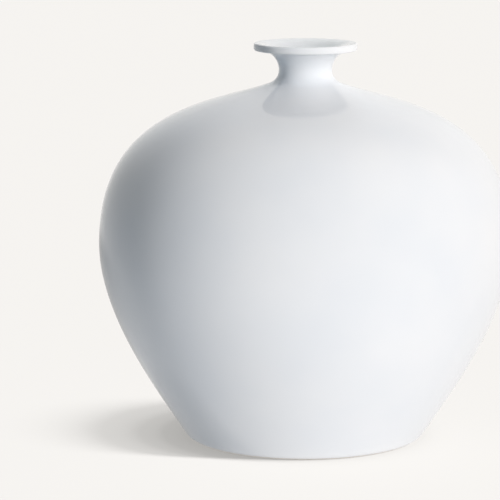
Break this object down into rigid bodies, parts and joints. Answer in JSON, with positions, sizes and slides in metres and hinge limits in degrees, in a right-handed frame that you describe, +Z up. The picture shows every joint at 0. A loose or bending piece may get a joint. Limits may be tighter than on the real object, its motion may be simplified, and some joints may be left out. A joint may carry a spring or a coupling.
{
  "type": "ceramic vase",
  "caption": "Round-bellied white glazed porcelain vase with a narrow foot, a short waisted neck and a flared mouth, for holding water and cut stems.",
  "frame": {"origin": "centre of the foot, on the surface that the vase stands on", "axes": "+Z up along the vase's axis of rotation; X and Y are level and alike, and the picture looks along +Y"},
  "size_m": [0.28, 0.28, 0.2692],
  "materials": {
    "bare_porcelain": "unglazed fired porcelain, wiped clean and rubbed smooth on the standing edge",
    "bisque_porcelain": "fired porcelain body under the glaze",
    "luting_clay": "coil of the same clay, pressed in soft and smoothed flush",
    "white_glaze": "clear glossy glaze with a faint cool tint over white porcelain"
  },
  "bodies": {
    "root": {"foot_ring": "bare_porcelain", "base_floor": "bisque_porcelain", "lower_body": "bisque_porcelain", "waist_coil": "luting_clay", "upper_body": "bisque_porcelain", "neck": "bisque_porcelain", "mouth_rim": "bisque_porcelain", "outer_glaze": "white_glaze", "inner_glaze": "white_glaze"}
  },
  "joints": []
}
